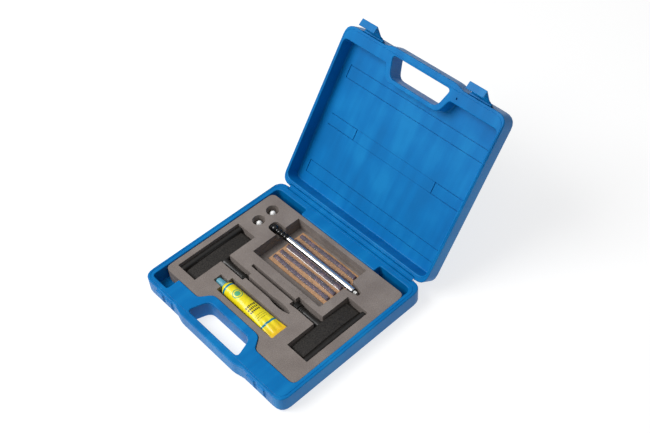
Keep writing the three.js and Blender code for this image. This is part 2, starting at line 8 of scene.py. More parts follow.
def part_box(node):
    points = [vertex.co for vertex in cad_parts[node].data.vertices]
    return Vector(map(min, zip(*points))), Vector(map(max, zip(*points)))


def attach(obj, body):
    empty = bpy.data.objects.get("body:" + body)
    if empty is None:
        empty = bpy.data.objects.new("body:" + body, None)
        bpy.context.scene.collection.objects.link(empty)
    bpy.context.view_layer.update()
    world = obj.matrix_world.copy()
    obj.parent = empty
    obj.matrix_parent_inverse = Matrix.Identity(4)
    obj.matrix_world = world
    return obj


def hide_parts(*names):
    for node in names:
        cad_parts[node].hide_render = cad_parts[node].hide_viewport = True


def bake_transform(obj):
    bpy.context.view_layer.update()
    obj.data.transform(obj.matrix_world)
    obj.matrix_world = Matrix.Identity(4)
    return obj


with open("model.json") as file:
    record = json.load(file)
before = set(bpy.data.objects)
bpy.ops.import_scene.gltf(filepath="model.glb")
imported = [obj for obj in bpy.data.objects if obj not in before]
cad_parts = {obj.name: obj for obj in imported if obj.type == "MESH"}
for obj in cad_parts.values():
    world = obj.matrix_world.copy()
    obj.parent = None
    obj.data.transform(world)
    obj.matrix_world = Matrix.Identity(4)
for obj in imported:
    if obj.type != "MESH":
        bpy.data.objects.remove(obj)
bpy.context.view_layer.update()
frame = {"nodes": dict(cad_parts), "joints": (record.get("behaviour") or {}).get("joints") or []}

mm = 0.001


# small helpers: selecting, applying and placing

def leaveEditMode():
    if bpy.context.object and bpy.context.object.mode != "OBJECT":
        bpy.ops.object.mode_set(mode="OBJECT")


def pickOnly(piece):
    leaveEditMode()
    bpy.ops.object.select_all(action="DESELECT")
    piece.select_set(True)
    bpy.context.view_layer.objects.active = piece


def editAll(piece, action="SELECT"):
    pickOnly(piece)
    bpy.ops.object.mode_set(mode="EDIT")
    bpy.ops.mesh.select_mode(type="VERT")
    bpy.ops.mesh.select_all(action=action)


# goes into edit mode with just the edges selected whose two ends pass the test
def editEdges(piece, wanted):
    editAll(piece, "DESELECT")
    bpy.ops.mesh.select_mode(type="EDGE")
    bpy.ops.object.mode_set(mode="OBJECT")
    points = piece.data.vertices
    for edge in piece.data.edges:
        first, last = (points[i].co for i in edge.vertices)
        edge.select = wanted(first, last)
    bpy.ops.object.mode_set(mode="EDIT")


def addModifier(piece, kind, **settings):
    modifier = piece.modifiers.new(kind.title(), kind)
    for name, value in settings.items():
        setattr(modifier, name, value)
    pickOnly(piece)
    bpy.ops.object.modifier_apply(modifier=modifier.name)


def smoothUnder(piece, degrees):
    pickOnly(piece)
    bpy.ops.object.shade_smooth_by_angle(angle=math.radians(degrees))


# smooth shading whose broad faces stay flat right up to their rounded edges
def settleNormals(piece, degrees=40):
    pickOnly(piece)
    bpy.ops.mesh.customdata_custom_splitnormals_clear()
    smoothUnder(piece, degrees)
    addModifier(piece, "WEIGHTED_NORMAL", keep_sharp=True, weight=60)


def applyPlace(piece):
    pickOnly(piece)
    bpy.ops.object.transform_apply(location=True, rotation=True, scale=True)


def justAdded(name):
    piece = bpy.context.object
    piece.name = name
    return piece


def addBlock(name, middle, size):
    bpy.ops.mesh.primitive_cube_add(size=1, location=middle)
    piece = justAdded(name)
    piece.scale = size
    applyPlace(piece)
    return piece


def addRod(name, middle, radius, length, turn, sides):
    bpy.ops.mesh.primitive_cylinder_add(
        vertices=sides, radius=radius, depth=length, location=middle, rotation=turn,
    )
    piece = justAdded(name)
    applyPlace(piece)
    return piece


def cutOrJoin(piece, tool, operation, materials="INDEX"):
    settings = {"operation": operation, "solver": "MANIFOLD", "material_mode": materials}
    addModifier(piece, "BOOLEAN", object=tool, **settings)
    bpy.data.objects.remove(tool)


def joinLoose(piece, other):
    pickOnly(piece)
    other.select_set(True)
    bpy.ops.object.join()


def paint(piece, material):
    piece.data.materials.clear()
    piece.data.materials.append(material)


def dress(piece, body, slot, material, *nodes):
    if material:
        paint(piece, material)
    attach(piece, body)
    if nodes:
        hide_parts(*nodes)


# a welded copy of a node's shape, with its flat faces whole again
def weldedCopy(node, name):
    piece = bpy.data.objects.new(name, frame["nodes"][node].data.copy())
    bpy.context.scene.collection.objects.link(piece)
    editAll(piece)
    bpy.ops.mesh.remove_doubles(threshold=0.01 * mm)
    bpy.ops.mesh.dissolve_limited(angle_limit=math.radians(0.8))
    bpy.ops.object.mode_set(mode="OBJECT")
    return piece


def roundEdges(piece, width, segments=3, above=35):
    addModifier(
        piece, "BEVEL", width=width, segments=segments, limit_method="ANGLE",
        angle_limit=math.radians(above), use_clamp_overlap=False, miter_outer="MITER_ARC",
    )


# a piece turned about a line along X (or Z): its outline is drawn point by point and spun
def turnedPiece(name, outline, centre, alongZ=False, steps=48):
    def place(point):
        along, radius = point
        if alongZ:
            return Vector((centre[0] + radius, centre[1], centre[2] + along))
        return Vector((centre[0] + along, centre[1], centre[2] + radius))

    bpy.ops.mesh.primitive_plane_add(size=mm, location=place(outline[0]))
    piece = justAdded(name)
    applyPlace(piece)
    editAll(piece)
    bpy.ops.mesh.merge(type="CENTER")
    for before, after in zip(outline, outline[1:]):
        step = place(after) - place(before)
        bpy.ops.mesh.extrude_vertices_move(TRANSFORM_OT_translate={"value": step})
    bpy.ops.mesh.select_all(action="SELECT")
    axis = (0, 0, 1) if alongZ else (1, 0, 0)
    bpy.ops.mesh.spin(steps=steps, angle=2 * math.pi, center=centre, axis=axis)
    bpy.ops.mesh.select_all(action="SELECT")
    bpy.ops.mesh.remove_doubles(threshold=0.002 * mm)
    bpy.ops.mesh.normals_make_consistent(inside=False)
    bpy.ops.object.mode_set(mode="OBJECT")
    return piece


# a closed bar along X whose long edges are cut into rings, ready to be shaped
def ringedBar(name, start, end, centre, radius, sides, rings):
    middle = ((start + end) / 2, centre[1], centre[2])
    piece = addRod(name, middle, radius, end - start, (0, math.pi / 2, 0), sides)
    editEdges(piece, lambda first, last: abs(first.x - last.x) > (end - start) / 2)
    bpy.ops.mesh.subdivide(number_cuts=rings)
    bpy.ops.object.mode_set(mode="OBJECT")
    return piece


# a line of round wire through points, made a mesh
def addWire(name, points, radius):
    curve = bpy.data.curves.new(name, "CURVE")
    curve.dimensions = "3D"
    curve.bevel_depth = radius
    curve.bevel_resolution = 2
    line = curve.splines.new("POLY")
    line.points.add(len(points) - 1)
    for spot, place in zip(line.points, points):
        spot.co = (*place, 1)
    line.use_cyclic_u = True
    piece = bpy.data.objects.new(name, curve)
    bpy.context.scene.collection.objects.link(piece)
    pickOnly(piece)
    bpy.ops.object.convert(target="MESH")
    return bpy.context.object


# points round a box with rounded corners, at one height
def roundedLoop(left, front, right, back, radius, height):
    points = []
    corners = [(right, front, -90), (right, back, 0), (left, back, 90), (left, front, 180)]
    for x, y, start in corners:
        centreX = x - radius if x == right else x + radius
        centreY = y - radius if y == back else y + radius
        for step in range(7):
            angle = math.radians(start + 15 * step)
            spot = (centreX + radius * math.cos(angle), centreY + radius * math.sin(angle))
            points.append((*spot, height))
    return points


# 0 before the start, 1 after the end, and an even swell between them
def swell(value, start, end):
    share = min(1, max(0, (value - start) / (end - start)))
    return share * share * (3 - 2 * share)


# materials

def linear(hexColour):
    channels = [int(hexColour[i:i + 2], 16) / 255 for i in (1, 3, 5)]
    spread = [c / 12.92 if c <= 0.04045 else ((c + 0.055) / 1.055) ** 2.4 for c in channels]
    return (*spread, 1)


# sets a node's sockets: a value that is another node's output is linked
def setSockets(tree, node, sockets):
    for name, value in sockets.items():
        if isinstance(value, bpy.types.NodeSocket):
            tree.links.new(value, node.inputs[name])
        else:
            node.inputs[name].default_value = value


# adds a node with its settings and links; stops are a colour ramp's places and colours
def addNode(tree, kind, sockets, stops=(), **settings):
    node = tree.nodes.new(kind)
    for name, value in settings.items():
        setattr(node, name, value)
    setSockets(tree, node, sockets)
    if stops:
        marks = node.color_ramp.elements
        while len(marks) < len(stops):
            marks.new(0.5)
        for mark, (spot, colour) in zip(marks, stops):
            mark.position = spot
            mark.color = linear(colour) if isinstance(colour, str) else (colour, colour, colour, 1)
    return node


def newMaterial(name, sockets):
    material = bpy.data.materials.new(name)
    material.use_nodes = True
    tree = material.node_tree
    shader = tree.nodes["Principled BSDF"]
    setSockets(tree, shader, sockets)
    return material, tree, shader, addNode(tree, "ShaderNodeTexCoord", {}).outputs["Object"]


# a finish whose colour, gloss and relief follow one grain: its width, how it is drawn out along
# each axis (0.1 is ten times longer), and the depth of its relief
def makeGrained(name, colours, gloss, grain, depth, drawnOut=(1, 1, 1), sockets=None):
    material, tree, shader, place = newMaterial(name, sockets or {})
    spread = addNode(tree, "ShaderNodeMapping", {"Vector": place, "Scale": drawnOut}).outputs[0]
    fine = {"Vector": spread, "Scale": 1 / grain, "Detail": 4, "Roughness": 0.65}
    noise = addNode(tree, "ShaderNodeTexNoise", fine).outputs[0]
    colour = addNode(tree, "ShaderNodeValToRGB", {"Fac": noise}, list(zip((0.33, 0.67), colours)))
    rough = addNode(tree, "ShaderNodeValToRGB", {"Fac": noise}, list(zip((0.33, 0.67), gloss)))
    relief = addNode(tree, "ShaderNodeBump", {"Height": noise, "Distance": depth, "Strength": 0.7})
    links = {"Base Color": colour.outputs[0], "Roughness": rough.outputs[0], "Normal": relief.outputs[0]}
    setSockets(tree, shader, links)
    return material


# blow-moulded polyethylene: satin, with a fine grain from the mould, pale flow streaks from
# front to back and a little cloudiness
def makeMouldedBlue():
    sockets = {"IOR": 1.51, "Specular IOR Level": 0.15}
    material, tree, shader, place = newMaterial("blueBlowMouldedPolyethylene", sockets)
    spread = addNode(tree, "ShaderNodeMapping", {"Vector": place, "Scale": (1, 0.1, 0.1)}).outputs[0]
    flow = {"Vector": spread, "Scale": 1 / (14 * mm), "Detail": 3, "Roughness": 0.5}
    streaks = addNode(tree, "ShaderNodeTexNoise", flow).outputs[0]
    broad = {"Vector": place, "Scale": 1 / (50 * mm), "Detail": 2}
    clouds = addNode(tree, "ShaderNodeTexNoise", broad).outputs[0]
    both = addNode(tree, "ShaderNodeMath", {0: streaks, 1: clouds}, operation="ADD").outputs[0]
    half = addNode(tree, "ShaderNodeMath", {0: both, 1: 0.5}, operation="MULTIPLY").outputs[0]
    tones = [(0.36, "#006AAC"), (0.5, "#0071B5"), (0.64, "#0C7DBE")]
    colour = addNode(tree, "ShaderNodeValToRGB", {"Fac": half}, tones).outputs[0]
    fine = {"Vector": place, "Scale": 1 / (0.8 * mm), "Detail": 3}
    grain = addNode(tree, "ShaderNodeTexNoise", fine).outputs[0]
    rough = addNode(tree, "ShaderNodeValToRGB", {"Fac": grain}, [(0.3, 0.32), (0.7, 0.46)]).outputs[0]
    relief = {"Height": grain, "Distance": 0.05 * mm, "Strength": 0.5}
    normal = addNode(tree, "ShaderNodeBump", relief).outputs[0]
    setSockets(tree, shader, {"Base Color": colour, "Roughness": rough, "Normal": normal})
    return material


# closed-cell polyethylene foam: dead matt, cells drawn about 1 mm wide so that they show, with
# pale and dark specks and faint broad patches
def makeFoam():
    sockets = {"Roughness": 0.95, "Specular IOR Level": 0.15}
    material, tree, shader, place = newMaterial("greyPolyethyleneFoam", sockets)
    cells = addNode(tree, "ShaderNodeTexVoronoi", {"Vector": place, "Scale": 1 / (1.1 * mm)})
    fine = {"Vector": place, "Scale": 1 / (0.9 * mm), "Detail": 4, "Roughness": 0.7}
    specks = addNode(tree, "ShaderNodeTexNoise", fine).outputs[0]
    broad = {"Vector": place, "Scale": 1 / (30 * mm), "Detail": 2}
    patches = addNode(tree, "ShaderNodeTexNoise", broad).outputs[0]
    mix = {0: patches, 1: 0.35, 2: specks}
    tone = addNode(tree, "ShaderNodeMath", mix, operation="MULTIPLY_ADD").outputs[0]
    tones = [(0.45, "#6C6460"), (0.68, "#837A75"), (0.92, "#9B938D")]
    colour = addNode(tree, "ShaderNodeValToRGB", {"Fac": tone}, tones).outputs[0]
    relief = {"Height": cells.outputs["Distance"], "Distance": 0.2 * mm, "Strength": 0.6}
    normal = addNode(tree, "ShaderNodeBump", relief).outputs[0]
    setSockets(tree, shader, {"Base Color": colour, "Normal": normal})
    return material


# rayon cord soaked in sticky rubber: purple and brown strands, knobbly, with wet glints
def makePlugCord():
    material, tree, shader, place = newMaterial("rubberSoakedCord", {"Specular IOR Level": 0.3})
    spread = addNode(tree, "ShaderNodeMapping", {"Vector": place, "Scale": (0.5, 1, 1)}).outputs[0]
    strands = {"Vector": spread, "Scale": 1 / (1.7 * mm), "Detail": 5, "Roughness": 0.7}
    fibres = addNode(tree, "ShaderNodeTexNoise", strands).outputs[0]
    broad = {"Vector": place, "Scale": 1 / (8 * mm), "Detail": 2}
    blots = addNode(tree, "ShaderNodeTexNoise", broad).outputs[0]
    mix = {0: blots, 1: 0.6, 2: fibres}
    tone = addNode(tree, "ShaderNodeMath", mix, operation="MULTIPLY_ADD").outputs[0]
    tones = [(0.6, "#1C1620"), (0.75, "#3B3249"), (0.88, "#54405A"), (0.96, "#7A5040"), (1.0, "#9A8494")]
    colour = addNode(tree, "ShaderNodeValToRGB", {"Fac": tone}, tones).outputs[0]
    rough = addNode(tree, "ShaderNodeValToRGB", {"Fac": fibres}, [(0.4, 0.6), (0.75, 0.3)]).outputs[0]
    relief = {"Height": fibres, "Distance": 0.5 * mm, "Strength": 0.8}
    normal = addNode(tree, "ShaderNodeBump", relief).outputs[0]
    setSockets(tree, shader, {"Base Color": colour, "Roughness": rough, "Normal": normal})
    return material


# 1 where a value lies between two limits, and 0 elsewhere
def bandMask(tree, value, low, high):
    middle = {0: value, 1: (low + high) / 2}
    offset = addNode(tree, "ShaderNodeMath", middle, operation="SUBTRACT").outputs[0]
    size = addNode(tree, "ShaderNodeMath", {0: offset}, operation="ABSOLUTE").outputs[0]
    inside = {0: size, 1: (high - low) / 2}
    return addNode(tree, "ShaderNodeMath", inside, operation="LESS_THAN").outputs[0]


# vacuum-drawn clear film over the cords: nearly invisible and creased, with painted glints: thin
# near-white lines of high opacity along the cords that stand in for light reflected off the film's sharp
# folds; each glint line is a place across and where it starts and ends
def makeClearFilm(paintedGlintLines):
    sockets = {"IOR": 1.5, "Roughness": 0.08, "Base Color": linear("#FAF6F4")}
    material, tree, shader, place = newMaterial("clearFilmPaintedGlints", sockets)
    spread = addNode(tree, "ShaderNodeMapping", {"Vector": place, "Scale": (0.4, 1, 1)}).outputs[0]
    fine = {"Vector": spread, "Scale": 1 / (5 * mm), "Detail": 4, "Roughness": 0.6}
    creases = addNode(tree, "ShaderNodeTexNoise", fine).outputs[0]
    relief = {"Height": creases, "Distance": 0.5 * mm, "Strength": 0.5}
    normal = addNode(tree, "ShaderNodeBump", relief).outputs[0]
    split = addNode(tree, "ShaderNodeSeparateXYZ", {0: place}).outputs
    wander = {0: creases, 1: 1.2 * mm, 2: split[1]}
    across = addNode(tree, "ShaderNodeMath", wander, operation="MULTIPLY_ADD").outputs[0]
    filmAlphaWithGlints, halfWide = 0.04, 0.3 * mm
    for middle, start, end in paintedGlintLines:
        middle += 0.6 * mm  # half of how far a painted glint line wanders
        # painted glint: a band where the film turns almost opaque near-white, standing in for light off a
        # fold
        mask = bandMask(tree, across, middle - halfWide, middle + halfWide)
        length = bandMask(tree, split[0], start, end)
        mask = addNode(tree, "ShaderNodeMath", {0: mask, 1: length}, operation="MULTIPLY").outputs[0]
        mix = {0: mask, 1: 0.8, 2: filmAlphaWithGlints}
        filmAlphaWithGlints = addNode(tree, "ShaderNodeMath", mix, operation="MULTIPLY_ADD").outputs[0]
    setSockets(tree, shader, {"Normal": normal, "Alpha": filmAlphaWithGlints})
    return material


finishes = {
    "blue": makeMouldedBlue(),
    "foam": makeFoam(),
    "plugCord": makePlugCord(),
    # black ABS from a spark-eroded mould: a coarse stipple that glints softly
    "stippledBlack": makeGrained(
        "blackStippledAbs", ("#070606", "#37332F"), (0.74, 0.42), 1.5 * mm, 0.5 * mm,
        sockets={"Specular IOR Level": 0.35}),
    # the same ABS where the mould was polished: smooth, with a soft highlight
    "satinBlack": makeGrained(
        "blackSatinAbs", ("#161514", "#211F1D"), (0.34, 0.42), 2.5 * mm, 0.03 * mm),
    # glossy black nylon with small sharp highlights
    "glossBlack": makeGrained(
        "blackMouldedNylon", ("#09090A", "#121213"), (0.1, 0.18), 3 * mm, 0.01 * mm),
    # bright chrome plate on a brass tube: mirror-like, with the faintest drawing lines
    "chrome": makeGrained(
        "brightChromePlate", ("#DCDDDF", "#F2F3F5"), (0.05, 0.1), 0.6 * mm, 0.002 * mm,
        (0.02, 1, 1), {"Metallic": 1.0}),
    # oil-blackened tool steel: dark, with brighter wear in fine lines along the rod
    "toolSteel": makeGrained(
        "blackenedToolSteel", ("#242221", "#57534F"), (0.3, 0.45), 0.5 * mm, 0.04 * mm,
        (0.08, 1, 1), {"Metallic": 0.9}),
    # drawn spring steel: grey and half bright
    "springSteel": makeGrained(
        "drawnSpringSteel", ("#8F9194", "#B9BBBE"), (0.25, 0.35), 1 * mm, 0.01 * mm,
        (1, 1, 1), {"Metallic": 1.0}),
    # nitrile rubber: black and dull
    "rubber": makeGrained("blackNitrileRubber", ("#141414", "#202020"), (0.7, 0.8), 1 * mm, 0.04 * mm),
    # white nylon: a little translucent-looking, with soft highlights
    "whiteNylon": makeGrained(
        "whiteMouldedNylon", ("#F2F2F0", "#FCFCFB"), (0.26, 0.36), 2 * mm, 0.02 * mm),
    # teal polypropylene: satin, slightly cloudy
    "tubeCap": makeGrained("tealPolypropylene", ("#4A8EA3", "#66ABBE"), (0.36, 0.48), 2 * mm, 0.04 * mm),
    # waxed release sheet: tan, fibrous, with a dull shine
    "waxedSheet": makeGrained(
        "waxedTanSheet", ("#B08052", "#D2A070"), (0.42, 0.58), 2.4 * mm, 0.1 * mm, (0.4, 1, 1)),
}
print("materials made")


# the carry case

caseShape = {
    "round": 1.3 * mm,
    "latchRound": 0.45 * mm,
    "rimLine": 0.5 * mm,
    "rimLineIn": 3.6 * mm,
    "lidRimLineIn": 2.3 * mm,
    "panelLine": 0.9 * mm,
    "panelIn": 27 * mm,  # how far in the frame line on the outside of each half lies
    "panelBelowGrip": 22 * mm,
    "panelRound": 9 * mm,
    "lidOpen": math.radians(125.5),
    "webHalf": 1.2 * mm,  # half of the width over which the hinge web bends
    "rimGap": 0.3 * mm,  # between the rims when the lid is shut
    "lidDepth": 24 * mm,
    "lidWall": 3 * mm,
    "latchPlay": 0.01,  # as a share of the latch's width
    # lines cut round the strips inside the lid, in mm: each strip's front, back, left and right,
    # the lines' width and depth, and the end that a line closes
    "moulding": (
        (-64.5, -47.5, -113, 117, 1.1, 1.5, "left"),
        (3, 18, -110, -64, 1.1, 1.5, "right"),
        (3, 18, -64, 71, 0.7, 0.6, ""),
        (3, 18, 71, 116, 1.1, 1.5, "left"),
        (73, 90, -113, 117, 1.1, 1.3, "left"),
    ),
    "blowPin": (59.7 * mm, -102 * mm, 1.5 * mm),
}


def caseFront():
    return -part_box("base_shell")[1].y


def hingePlace():
    joint = next(joint for joint in frame["joints"] if joint["name"] == "lid_hinge")
    return Vector(joint["pos_m"])


# from a place in the shut lid to the same place in the lid at rest
def lidTurn():
    hinge = hingePlace()
    turn = Matrix.Rotation(-caseShape["lidOpen"], 4, "X")
    return Matrix.Translation(hinge) @ turn @ Matrix.Translation(-hinge)


# the cutter for the frame line on the outside of the base or the lid
def panelCutter(name, height):
    low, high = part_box("base_shell")
    inset = caseShape["panelIn"]
    front = caseFront() + inset + caseShape["panelBelowGrip"]
    sides = (low.x + inset, front, high.x - inset, high.y - inset)
    return addWire(name, roundedLoop(*sides, caseShape["panelRound"], height), caseShape["panelLine"])


def makeBase():
    piece = weldedCopy("base_shell", "caseBase")
    low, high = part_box("base_shell")
    roundEdges(piece, caseShape["round"])
    for point in piece.data.vertices:  # the step at the hinge is lower than the rounding is wide
        point.co.z = min(point.co.z, high.z)
    inset = caseShape["rimLineIn"]
    sides = (low.x + inset, caseFront() + inset, high.x - inset, high.y - 6.5 * mm)
    rim = roundedLoop(*sides, 11 * mm, high.z)
    cutOrJoin(piece, addWire("rimLine", rim, caseShape["rimLine"]), "DIFFERENCE")
    cutOrJoin(piece, panelCutter("panelLine", low.z), "DIFFERENCE")
    settleNormals(piece)
    dress(piece, "base", "case_blue", finishes["blue"], "base_shell")
    print("base made:", len(piece.data.polygons), "faces")


# the cutters for the lines round the strips inside the lid
def lidCutters(innerFloor):
    cutters = []

    def addLine(left, front, right, back, deep):
        middle = ((left + right) / 2 * mm, (front + back) / 2 * mm, innerFloor)
        size = ((right - left) * mm, (back - front) * mm, 2 * deep * mm)
        cutters.append(addBlock("stripLine", middle, size))

    for front, back, left, right, wide, deep, closed in caseShape["moulding"]:
        half = wide / 2
        for y in (front, back):
            addLine(left - half, y - half, right + half, y + half, deep)
        if closed:
            x = left if closed == "left" else right
            addLine(x - half, front, x + half, back, deep)
    return cutters


def makeLid():
    piece = weldedCopy("lid_shell", "caseLid")
    roundEdges(piece, caseShape["round"])
    low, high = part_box("base_shell")
    rim = high.z + caseShape["rimGap"]
    outside = rim + caseShape["lidDepth"]
    piece.data.transform(lidTurn().inverted())
    for point in piece.data.vertices:
        point.co.z = max(point.co.z, rim)
    piece.data.transform(lidTurn())
    cutters = lidCutters(outside - caseShape["lidWall"])
    x, y, radius = caseShape["blowPin"]
    cutters.append(addRod("blowPinHole", (x, y, rim), radius, 3 * mm, (0, 0, 0), 20))
    inset = caseShape["lidRimLineIn"]
    sides = (low.x + inset, caseFront() + 3.6 * mm, high.x - inset, high.y - 5.6 * mm)
    cutters.append(addWire("lidRimLine", roundedLoop(*sides, 12.5 * mm, rim), 0.4 * mm))
    cutters.append(panelCutter("lidPanelLine", outside))
    for cutter in cutters:
        cutter.data.transform(lidTurn())
        cutOrJoin(piece, cutter, "DIFFERENCE")
    settleNormals(piece)
    dress(piece, "lid", "case_blue", finishes["blue"], "lid_shell")
    print("lid made:", len(piece.data.polygons), "faces")


def makeLatches():
    for side in ("left", "right"):
        node = f"latch_{side}"
        piece = weldedCopy(node, f"caseLatch_{side}")
        roundEdges(piece, caseShape["latchRound"], 2, 30)
        low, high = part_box(node)
        for point in piece.data.vertices:  # a little play between the latch and its recess
            point.co.x += ((low.x + high.x) / 2 - point.co.x) * caseShape["latchPlay"]
        settleNormals(piece)
        dress(piece, f"{side}_latch", "case_blue", finishes["blue"], node)


def makeHinge():
    piece = weldedCopy("living_hinge", "caseHingeWeb")
    smoothUnder(piece, 50)
    paint(piece, finishes["blue"])
    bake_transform(piece)
    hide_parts("living_hinge")


makeBase()
makeLid()
makeLatches()
makeHinge()
print("case made")


# the foam insert: a thin liner and two layers

foamShape = {"round": 0.35 * mm, "parts": {"foam_liner": 1, "foam_lower_layer": 2, "foam_upper_layer": 2}}


def makeFoamParts():
    for node, segments in foamShape["parts"].items():
        piece = weldedCopy(node, f"cut_{node}")
        roundEdges(piece, foamShape["round"], segments)
        settleNormals(piece)
        dress(piece, "base", "foam", finishes["foam"], node)


makeFoamParts()
print("foam made")


# the T-handled tools, each made along +X from the back of its handle and then placed

gripShape = {
    "length": 95 * mm,
    "width": 31.6 * mm,
    "bead": (8 * mm, 16 * mm),
    "beadRound": 3.8 * mm,
    "beadEndRound": 0.8 * mm,
    "panelHalf": 46 * mm,  # the panel stops short of the bead's ends
    "panelThick": 12 * mm,
    "crown": 2 * mm,  # how much thinner the panel is at its ends
    "groove": 1.8 * mm,  # between the bead and the panel
    "grooveDepth": 1.6 * mm,
    "edge": 2.2 * mm,
    "stemEnd": 74.1 * mm,
    "collar": 7.7 * mm,
    "bore": 2.3 * mm,
    "tang": 29.4 * mm,
}

needleShape = {
    "radius": 2 * mm,
    "flat": (14 * mm, 24 * mm),  # from the tip: flattened up to here, and round from here
    "flatShare": 0.45,
    "eye": (11 * mm, 1.3 * mm),
    "eyeIn": 11 * mm,
}

raspShape = {
    "radius": 2 * mm,
    "cutLength": 48 * mm,
    "pitch": 9 * mm,
    "starts": 3,
    "cutDepth": 0.22,
}


# where a tool stands: the middle of its handle's back, turned to face along or against X
def toolPlace(tool, facing):
    low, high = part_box(f"{tool}_handle")
    back = low.x if facing > 0 else high.x
    middle = (low + high) / 2
    turn = Matrix.Rotation(0 if facing > 0 else math.pi, 4, "Z")
    return Matrix.Translation((back, middle.y, middle.z)) @ turn


def makePanel():
    start, end = gripShape["bead"][0] - 2 * mm, gripShape["width"]
    half, thick = gripShape["panelHalf"], gripShape["panelThick"] / 2
    size = (end - start, 2 * half, 2 * thick)
    panel = addBlock("gripPanel", ((start + end) / 2, 0, 0), size)
    editAll(panel)
    bpy.ops.mesh.subdivide(number_cuts=36)
    bpy.ops.object.mode_set(mode="OBJECT")
    edge = gripShape["edge"]
    for point in panel.data.vertices:
        along = point.co.y / half
        height = thick - gripShape["crown"] * along ** 2
        fromBead = point.co.x - gripShape["bead"][0]
        if 0 < fromBead < gripShape["groove"]:
            height -= gripShape["grooveDepth"] * math.sin(math.pi * fromBead / gripShape["groove"])
        for inset in (end - point.co.x, half - abs(point.co.y)):
            inset = max(0, inset)
            if inset < edge:
                height -= edge * (1 - math.sqrt(1 - (1 - inset / edge) ** 2))
        point.co.z *= height / thick
    paint(panel, finishes["stippledBlack"])
    return panel


def makeBead():
    wide, tall = gripShape["bead"]
    length = gripShape["length"]
    bead = addBlock("gripBead", (wide / 2, 0, 0), (wide, length, tall))
    editEdges(bead, lambda first, last: abs(first.y - last.y) > length / 2)
    bpy.ops.mesh.bevel(offset=gripShape["beadRound"], segments=8, clamp_overlap=False)
    bpy.ops.object.mode_set(mode="OBJECT")
    editEdges(bead, lambda first, last: abs(first.y - last.y) < 0.01 * mm)
    bpy.ops.mesh.bevel(offset=gripShape["beadEndRound"], segments=3, clamp_overlap=False)
    bpy.ops.object.mode_set(mode="OBJECT")
    paint(bead, finishes["satinBlack"])
    return bead


def makeStem():
    end = gripShape["stemEnd"]
    neck = end - gripShape["collar"]
    outline = [(24 * mm, 0), (24 * mm, 6 * mm), (32 * mm, 5.9 * mm), (38 * mm, 5.2 * mm)]
    outline += [(45 * mm, 4.7 * mm), (52 * mm, 4.6 * mm), (57 * mm, 4.9 * mm)]
    for ring in range(3):  # three low rings before the collar
        start = 58 * mm + ring * 2.6 * mm
        outline += [(start, 4.7 * mm), (start + 0.5 * mm, 5.2 * mm), (start + 1.6 * mm, 5.2 * mm)]
    outline += [(neck - 0.4 * mm, 4.7 * mm), (neck - 0.3 * mm, 4.2 * mm), (end, 4.2 * mm), (end, 0)]
    stem = turnedPiece("gripStem", outline, (0, 0, 0))
    paint(stem, finishes["satinBlack"])
    return stem


def makeGrip(tool, facing):
    grip = makeBead()
    grip.name = f"{tool}_grip"
    cutOrJoin(grip, makePanel(), "UNION", "TRANSFER")
    cutOrJoin(grip, makeStem(), "UNION", "TRANSFER")
    length = gripShape["tang"] + 2 * mm
    middle = gripShape["stemEnd"] + 1 * mm - length / 2
    bore = addRod("gripBore", (middle, 0, 0), gripShape["bore"], length, (0, math.pi / 2, 0), 24)
    paint(bore, finishes["satinBlack"])
    cutOrJoin(grip, bore, "DIFFERENCE")
    grip.data.transform(toolPlace(tool, facing))
    settleNormals(grip, 35)
    dress(grip, tool, "black_plastic", None, f"{tool}_handle")


def makeCollar(tool, facing):
    end = gripShape["stemEnd"]
    start = end - gripShape["collar"]
    pitch = gripShape["collar"] / 4
    inner = 4.5 * mm
    outline = [(start, inner), (start, 5.4 * mm)]
    for rib in range(4):
        foot = start + rib * pitch
        outline += [(foot + 0.3 * mm, 6 * mm), (foot + 0.6 * mm, 6.3 * mm)]
        outline += [(foot + pitch - 0.6 * mm, 6.3 * mm), (foot + pitch - 0.3 * mm, 6 * mm)]
        outline += [(foot + pitch - 0.05 * mm, 5.4 * mm)]
    outline += [(end, inner), (start, inner)]
    collar = turnedPiece(f"{tool}_ribbedCollar", outline, (0, 0, 0))
    collar.data.transform(toolPlace(tool, facing))
    smoothUnder(collar, 50)
    dress(collar, tool, "black_plastic", finishes["satinBlack"], f"{tool}_collar")


# the rod of a tool, from inside its handle to its point, and where its point is
def makeShank(node, name, radius, sides, rings):
    low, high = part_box(node)
    start = gripShape["stemEnd"] - gripShape["tang"]
    end = start + high.x - low.x
    return ringedBar(name, start, end, (0, 0, 0), radius, sides, rings), end


# the needle ends in a flattened, pointed tip with a long eye through it
def makeNeedle(tool, facing, node):
    needle, end = makeShank(node, "plugNeedle", needleShape["radius"], 28, 140)
    for point in needle.data.vertices:
        fromTip = end - point.co.x
        flat = 1 - swell(fromTip, *needleShape["flat"])
        point.co.z *= 1 - needleShape["flatShare"] * flat
        taper = 0.16 + 0.84 * swell(fromTip, -3 * mm, 7 * mm)
        point.co.y *= taper
        point.co.z *= 0.3 + 0.7 * taper
    eye = addBlock("needleEye", (end - needleShape["eyeIn"], 0, 0), (*needleShape["eye"], 8 * mm))
    editEdges(eye, lambda first, last: abs(first.z - last.z) > mm)
    bpy.ops.mesh.bevel(offset=0.6 * mm, segments=4, clamp_overlap=False)
    bpy.ops.object.mode_set(mode="OBJECT")
    cutOrJoin(needle, eye, "DIFFERENCE")
    needle.data.transform(toolPlace(tool, facing))
    smoothUnder(needle, 40)
    dress(needle, tool, "tool_steel", finishes["toolSteel"], node)


